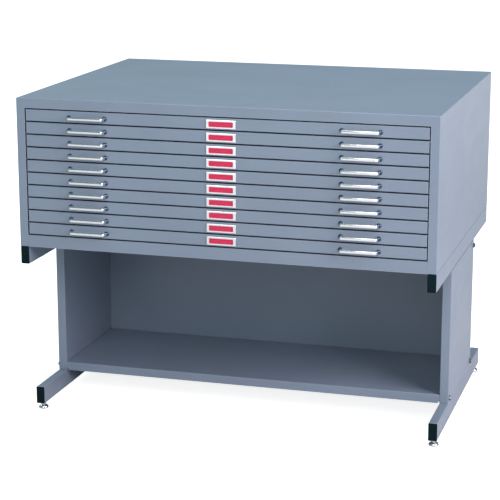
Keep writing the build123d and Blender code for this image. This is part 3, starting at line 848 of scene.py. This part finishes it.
@dataclass
class Drawer:
    """One drawer: tray, front, two pulls, and a label holder with its card."""

    shop: PaintShop
    body: str
    card_width: float = 76.0 * MM
    card_height: float = 17.6 * MM
    card_thickness: float = 0.45 * MM
    card_bow: float = 0.12 * MM
    slot_back: float = 0.8 * MM
    roller_width: float = 7.0 * MM
    rim_drop: float = 2.5 * MM
    slack: float = 0.1 * MM

    def build(self) -> None:
        """Dresses the drawer's parts and adds its card."""
        for name in frame["record"]["behaviour"]["bodies"][self.body]:
            self.shop.dress_node(name)
        self._colour_rollers()
        self._card()
        log.info("dressed %s", self.body)

    def _colour_rollers(self) -> None:
        """Gives the tray's two rear rollers the nylon finish."""
        tray = self.shop.dress_node(f"{self.body}_tray", Coat.ROLLER_NYLON)
        _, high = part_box(f"{self.body}_tray")
        for face in tray.data.polygons:
            beside = abs(face.center.x) > high.x - self.roller_width - self.slack
            face.material_index = int(beside and face.center.z < high.z - self.rim_drop)

    def _card(self) -> None:
        """Makes the card: a thin sheet that bows a little in its slot."""
        low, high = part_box(f"{self.body}_label_holder")
        middle = (low + high) / 2
        columns, rows = 24, 4
        shape = bmesh.new()
        uv = shape.loops.layers.uv.new("card")
        grid: list[list[list[bmesh.types.BMVert]]] = []
        for back in (False, True):
            side = []
            for row in range(rows + 1):
                line = []
                for column in range(columns + 1):
                    across = 2 * column / columns - 1
                    y = high.y - self.slot_back - self.slack - self.card_bow * (1 - across * across)
                    y -= 0.0 if back else self.card_thickness
                    x = middle.x + across * self.card_width / 2
                    z = middle.z + (row / rows - 0.5) * self.card_height
                    line.append(shape.verts.new((x, y, z)))
                side.append(line)
            grid.append(side)
        for side in grid:
            for row in range(rows):
                for column in range(columns):
                    below, above = side[row], side[row + 1]
                    shape.faces.new((below[column], below[column + 1], above[column + 1], above[column]))
        front, rear = grid
        border = [(0, column) for column in range(columns)]
        border += [(row, columns) for row in range(rows)]
        border += [(rows, column) for column in range(columns, 0, -1)]
        border += [(row, 0) for row in range(rows, 0, -1)]
        for (r1, c1), (r2, c2) in zip(border, border[1:] + border[:1]):
            shape.faces.new((front[r1][c1], front[r2][c2], rear[r2][c2], rear[r1][c1]))
        for face in shape.faces:
            for loop in face.loops:
                loop[uv].uv = (loop.vert.co.x - middle.x, loop.vert.co.z - middle.z)
        card = mesh_object(f"{self.body}_card", shape)
        self.shop.dress(card, self.shop.card)
        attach(card, self.body)


@dataclass
class Pulls:
    """The two pulls of one drawer: bars bent back at both ends, on round domed feet."""

    shop: PaintShop
    body: str
    bar_length: float = 101.0 * MM
    base_length: float = 107.0 * MM
    bar_height: float = 8.0 * MM
    bar_thickness: float = 4.0 * MM
    corner: float = 5.0 * MM
    edge: float = 1.1 * MM
    crown: float = 0.35 * MM
    foot_radius: float = 6.5 * MM
    foot_depth: float = 5.0 * MM
    foot_lip: float = 0.6 * MM
    rivet_radius: float = 2.5 * MM
    rivet_head_radius: float = 4.0 * MM
    rivet_head_height: float = 1.5 * MM
    rivet_head_taper: float = 0.8

    def build(self) -> None:
        """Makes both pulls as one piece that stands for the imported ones."""
        low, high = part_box(f"{self.body}_pulls")
        face_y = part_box(f"{self.body}_front")[0].y
        height = (low.z + high.z) / 2
        foot_reach = (self.base_length - self.bar_thickness) / 2
        shape = bmesh.new()
        for way in (-1, 1):
            middle = way * (high.x - self.foot_radius - foot_reach)
            self._bar(shape, Vector((middle, face_y, height)), face_y - low.y)
            for end in (-1, 1):
                at = Matrix.Translation((middle + end * foot_reach, face_y, height))
                self._foot(shape, at @ Matrix.Rotation(math.pi / 2, 4, "X"), high.y - face_y)
        pulls = mesh_object(f"{self.body}_pulls_fine", shape, 40.0)
        # the second finish is a painted reflection on the feet: dark plate standing for the slate front they
        # mirror
        self.shop.dress(pulls, self.shop.coats[Coat.BRIGHT_PLATE], self.shop.coats[Coat.PAINTED_REFLECTION_PLATE])
        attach(pulls, self.body)
        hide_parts(f"{self.body}_pulls")
        log.info("made %s", pulls.name)

    def _bar(self, shape: bmesh.types.BMesh, centre: Vector, reach: float) -> None:
        """Sweeps the bar's section from one foot, round both bends, to the other foot.

        Args:
            shape: the bmesh that gets the bar.
            centre: the middle of the pull, on the drawer's front.
            reach: how far the bar stands out from the front.
        """
        half_thick = self.bar_thickness / 2
        foot = Vector((-(self.base_length / 2 - half_thick), -self.foot_lip))
        knee = Vector((-(self.bar_length / 2 - half_thick), half_thick - reach))
        rising = (knee - foot).normalized()
        bend = self.corner - half_thick
        turn = math.atan2(rising.x, -rising.y)
        setback = bend * math.tan((math.pi / 2 - turn) / 2)
        hub = knee + Vector((setback, bend))
        path = [(foot, turn), (knee - rising * setback, turn)]
        steps = 8
        for step in range(1, steps + 1):
            lean = turn + (math.pi / 2 - turn) * step / steps
            path.append((hub - bend * Vector((math.cos(lean), math.sin(lean))), lean))
        path += [(Vector((-point.x, point.y)), math.pi - lean) for point, lean in reversed(path)]
        section = self._section()
        rings = []
        for point, lean in path:
            out = Vector((-math.cos(lean), -math.sin(lean)))
            places = [centre + Vector((*(point + out * across), up)) for across, up in section]
            rings.append([shape.verts.new(place_at) for place_at in places])
        for before, after in zip(rings, rings[1:]):
            for corner in range(len(section)):
                beside = (corner + 1) % len(section)
                shape.faces.new((before[corner], before[beside], after[beside], after[corner]))
        for end in (rings[0], rings[-1]):
            shape.faces.new(end)

    def _section(self) -> list[tuple[float, float]]:
        """Gives the bar's section: rounded corners, and an outer face that bows out a little.

        Returns:
            The outline's points, each as the distance outwards and the height.
        """
        inner = self.edge - self.bar_thickness / 2
        outer = self.bar_thickness / 2 - self.crown - self.edge
        top = self.bar_height / 2 - self.edge
        steps = 3
        corners = (
            (outer, top, 15, 90),
            (inner, top, 90, 180),
            (inner, -top, 180, 270),
            (outer, -top, 270, 345),
        )
        outline = []
        for x, z, start, end in corners:
            for step in range(steps + 1):
                lean = math.radians(start + (end - start) * step / steps)
                outline.append((x + self.edge * math.cos(lean), z + self.edge * math.sin(lean)))
        bow = [(outer + self.edge + self.crown * (1 - share**2), share * top) for share in (-0.6, 0.0, 0.6)]
        return outline + bow

    def _foot(self, shape: bmesh.types.BMesh, seat: Matrix, grip: float) -> None:
        """Adds a domed foot with its rivet.

        Args:
            shape: the bmesh that gets them.
            seat: the drawer's front; Z points out of it.
            grip: how far the rivet reaches behind that face.
        """
        bar_faces = set(shape.faces)
        lip, tall = self.foot_lip, self.foot_depth - self.foot_lip
        quarter = [math.radians(degrees) for degrees in range(0, 90, 9)]
        dome: list[Ring] = [(0.0, 0.0), (self.foot_radius, 0.0)]
        dome += [(self.foot_radius * math.cos(turn), lip + tall * math.sin(turn)) for turn in quarter]
        lathe(shape, [*dome, (0.0, self.foot_depth)], seat, steps=40)
        under = -(grip - self.rivet_head_height)
        rivet: list[Ring] = [(0.0, 0.0), (self.rivet_radius, 0.0), (self.rivet_radius, under)]
        tapered = self.rivet_head_radius * self.rivet_head_taper
        rivet += [(self.rivet_head_radius, under), (tapered, -grip), (0.0, -grip)]
        lathe(shape, rivet, seat, steps=24)
        # painted reflection: the feet and rivets take the dark plate, standing for the slate front the chrome
        # mirrors
        for face in set(shape.faces) - bar_faces:
            face.material_index = 1


@dataclass
class Fasteners:
    """The bolts, washers and nuts that hold the base together and the case on the base."""

    shop: PaintShop
    body: str = "cabinet"
    radius: float = 3.175 * MM
    pitch: float = 1.27 * MM
    hole_radius: float = 3.5 * MM
    across_flats: float = 11.1 * MM
    head_height: float = 4.2 * MM
    nut_height: float = 5.5 * MM
    past_nut: float = 2.0 * MM
    threaded: float = 12.0 * MM
    washer_radius: float = 8.0 * MM
    washer_thickness: float = 1.6 * MM
    washer_edge: float = 0.3 * MM
    sheet: float = 1.2 * MM
    shelf_inset: float = 14.0 * MM
    back_drop: float = 15.0 * MM
    case_inset: float = 120.0 * MM

    def build(self) -> None:
        """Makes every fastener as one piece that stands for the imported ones."""
        shape = bmesh.new()
        panel_low, panel_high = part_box("right_side_panel")
        back_low, back_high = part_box("base_back_panel")
        rail_low, rail_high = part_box("right_top_rail")
        case_low, case_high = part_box("case_wrapper")
        shelf_bolt_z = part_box("shelf")[0].z + self.shelf_inset
        spots = (
            (panel_low.y + self.shelf_inset, shelf_bolt_z),
            (panel_high.y - self.shelf_inset, shelf_bolt_z),
            ((back_low.y + back_high.y) / 2, rail_low.z - self.back_drop),
        )
        through_side = panel_high.x - panel_low.x + self.sheet
        through_rail = rail_high.z - rail_low.z + 2 * self.sheet
        for way in (-1, 1):
            for y, z in spots:
                outwards = Matrix.Rotation(way * math.pi / 2, 4, "Y")
                seat = Matrix.Translation((way * panel_high.x, y, z)) @ outwards
                self._washer(shape, seat)
                self._bolt(shape, seat, self.washer_thickness, through_side)
            for y in (case_low.y + self.case_inset, case_high.y - self.case_inset):
                middle = way * (rail_low.x + rail_high.x) / 2
                seat = Matrix.Translation((middle, y, rail_low.z)) @ Matrix.Rotation(math.pi, 4, "X")
                self._bolt(shape, seat, 0.0, through_rail)
        fasteners = mesh_object("base_fasteners", shape)
        self.shop.dress(fasteners, self.shop.coats[Coat.BOLT_STEEL])
        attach(fasteners, self.body)
        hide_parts("base_bolts")
        log.info("made the fasteners")

    def _washer(self, shape: bmesh.types.BMesh, seat: Matrix) -> None:
        """Adds a plain washer with soft edges.

        Args:
            shape: the bmesh that gets it.
            seat: the surface it lies on; Z points out of it.
        """
        outer, edge, top = self.washer_radius, self.washer_edge, self.washer_thickness
        profile: list[Ring] = [(self.hole_radius, 0.0), (outer - edge, 0.0), (outer, edge)]
        profile += [(outer, top - edge), (outer - edge, top), (self.hole_radius, top)]
        lathe(shape, profile, seat, closed=True)

    def _bolt(self, shape: bmesh.types.BMesh, seat: Matrix, head_at: float, grip: float) -> None:
        """Adds a bolt and its nut.

        Args:
            shape: the bmesh that gets them.
            seat: the surface the bolt goes in through; Z points out of it.
            head_at: the head's height over that surface.
            grip: how far in the nut bears.
        """
        tip = -(grip + self.nut_height + self.past_nut)
        hex_block(shape, self.across_flats, head_at, head_at + self.head_height, seat)
        runout = tip + self.threaded
        shank: list[Ring] = [(0.0, runout), (self.radius, runout), (self.radius, head_at), (0.0, head_at)]
        lathe(shape, shank, seat, steps=24)
        thread(shape, self.radius, self.pitch, tip, runout, seat)
        hex_block(shape, self.across_flats, -(grip + self.nut_height), -grip, seat, self.hole_radius)


@dataclass
class Glide:
    """A levelling glide: a stamped foot, a neck, and a screw with a wrench hexagon."""

    shop: PaintShop
    body: str
    rim_radius: float = 14.2 * MM
    rim_height: float = 2.4 * MM
    hollow_radius: float = 10.8 * MM
    hollow: float = 1.2 * MM
    shoulder_radius: float = 6.6 * MM
    shoulder_height: float = 9.6 * MM
    neck_radius: float = 5.0 * MM
    hex_low: float = 11.5 * MM
    hex_high: float = 18.7 * MM
    across_flats: float = 13.0 * MM
    screw_radius: float = 3.97 * MM
    pitch: float = 1.41 * MM
    lip: float = 1.0 * MM

    def build(self) -> None:
        """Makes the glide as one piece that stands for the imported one."""
        low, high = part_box(self.body)
        stand = Matrix.Translation(((low.x + high.x) / 2, (low.y + high.y) / 2, low.z))
        shape = bmesh.new()
        lathe(shape, self._foot(), stand, steps=64)
        hex_block(shape, self.across_flats, self.hex_low, self.hex_high, stand)
        thread(shape, self.screw_radius, self.pitch, self.hex_high, high.z - low.z, stand)
        glide = mesh_object(f"{self.body}_fine", shape, 50.0)
        self.shop.dress(glide, self.shop.coats[Coat.GLIDE_PLATE])
        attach(glide, self.body)
        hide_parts(self.body)
        log.info("made %s", self.body)

    def _foot(self) -> list[Ring]:
        """Gives the foot's outline: hollow below, domed above, with a narrow neck.

        Returns:
            The outline's rings, from the hollow to the top of the neck.
        """
        lip = self.lip
        profile: list[Ring] = [(0.0, self.hollow), (self.hollow_radius, self.hollow)]
        profile += [(self.hollow_radius + lip, 0.0), (self.rim_radius - lip, 0.0)]
        quarter = [math.radians(degrees) for degrees in range(0, 91, 15)]
        profile += [
            (self.rim_radius - lip * (1 - math.sin(turn)), lip * (1 - math.cos(turn))) for turn in quarter[1:]
        ]
        wide, tall = self.rim_radius - self.shoulder_radius, self.shoulder_height - self.rim_height
        profile += [
            (self.shoulder_radius + wide * math.cos(turn), self.rim_height + tall * math.sin(turn))
            for turn in quarter
        ]
        profile += [(self.neck_radius, self.shoulder_height + lip / 2), (self.neck_radius, self.hex_low)]
        return profile + [(0.0, self.hex_low)]


# ---------------------------------------------------------------- studio


@dataclass
class SoftLight:
    """A softbox aimed at the cabinet."""

    name: str
    spot: tuple[float, float, float]
    size: float
    power: float
    tint: tuple[float, float, float] = (1.0, 1.0, 1.0)

    def build(self, aim: Vector) -> None:
        """Hangs the softbox and turns it to the cabinet.

        Args:
            aim: the point that the light looks at.
        """
        lamp = bpy.data.lights.new(self.name, "AREA")
        lamp.shape = "SQUARE"
        lamp.size = self.size
        lamp.energy = self.power
        lamp.color = self.tint
        hung = bpy.data.objects.new(self.name, lamp)
        hung.location = self.spot
        hung.rotation_euler = (aim - Vector(self.spot)).to_track_quat("-Z", "Y").to_euler()
        hung.visible_camera = False
        bpy.context.scene.collection.objects.link(hung)


@dataclass
class Studio:
    """The floor, the surrounding light, the softboxes and the camera."""

    shop: PaintShop
    floor_reach: float = 60.0
    camera_spot: tuple[float, float, float] = (1.3077, -4.6893, 1.6115)
    camera_turn: float = 16.1
    camera_tilt: float = 13.6
    lens: float = 121.7
    sensor: float = 36.0
    view_reach: float = 200.0
    surround: float = 0.27
    surround_tint: Colour = (0.55, 0.93, 1.0, 1.0)
    lights: list[SoftLight] = field(
        default_factory=lambda: [
            SoftLight("key_right", (4.5, -2.1, 2.9), 3.3, 375.0, (1.0, 0.87, 0.93)),
            SoftLight("fill_front", (0.4, -5.4, 3.3), 2.6, 140.0, (0.97, 0.95, 0.97)),
            SoftLight("top_soft", (0.0, 0.2, 5.0), 3.5, 135.0),
            SoftLight("rear_soft", (-4.5, 3.6, 4.4), 2.4, 80.0),
        ]
    )

    def build(self) -> None:
        """Sets up the studio round the cabinet."""
        self._floor()
        self._surround()
        low, high = CAD_BOX
        for light in self.lights:
            light.build((low + high) / 2)
        self._camera()
        bpy.context.scene.view_settings.view_transform = "Standard"

    def _floor(self) -> None:
        """Lays the floor, just under the glides."""
        shape = bmesh.new()
        bmesh.ops.create_grid(shape, x_segments=8, y_segments=8, size=self.floor_reach)
        floor = mesh_object("studio_floor", shape)
        self.shop.dress(floor, self.shop.floor)

    def _surround(self) -> None:
        """Lights the scene evenly, with a white backdrop beyond the floor."""
        world = bpy.data.worlds.new("studio")
        world.use_nodes = True
        tree = world.node_tree
        tree.nodes.clear()
        seen = place(tree, "ShaderNodeLightPath").outputs["Is Camera Ray"]
        strength = number(tree, "MULTIPLY_ADD", seen, 1.0 - self.surround, self.surround)
        colour = blend_colours(tree, seen, self.surround_tint, WHITE)
        glow = place(tree, "ShaderNodeBackground", {"Color": colour, "Strength": strength})
        place(tree, "ShaderNodeOutputWorld", {"Surface": glow.outputs[0]})
        bpy.context.scene.world = world

    def _camera(self) -> None:
        """Sets the camera in front of the cabinet, to its right and above it."""
        camera = bpy.data.objects.new("camera", bpy.data.cameras.new("camera"))
        camera.location = self.camera_spot
        camera.rotation_euler = (math.radians(90 - self.camera_tilt), 0.0, math.radians(self.camera_turn))
        camera.data.sensor_width = self.sensor
        camera.data.lens = self.lens
        camera.data.clip_end = self.view_reach
        bpy.context.scene.collection.objects.link(camera)
        bpy.context.scene.camera = camera


def main() -> None:
    """Builds the cabinet's looks, then the studio."""
    shop = PaintShop()
    Cabinet(shop).build()
    Fasteners(shop).build()
    for body in frame["record"]["behaviour"]["bodies"]:
        if body.startswith("drawer"):
            Drawer(shop, body).build()
            Pulls(shop, body).build()
        if body.startswith("glide"):
            Glide(shop, body).build()
    Studio(shop).build()


if __name__ == "__main__":
    main()
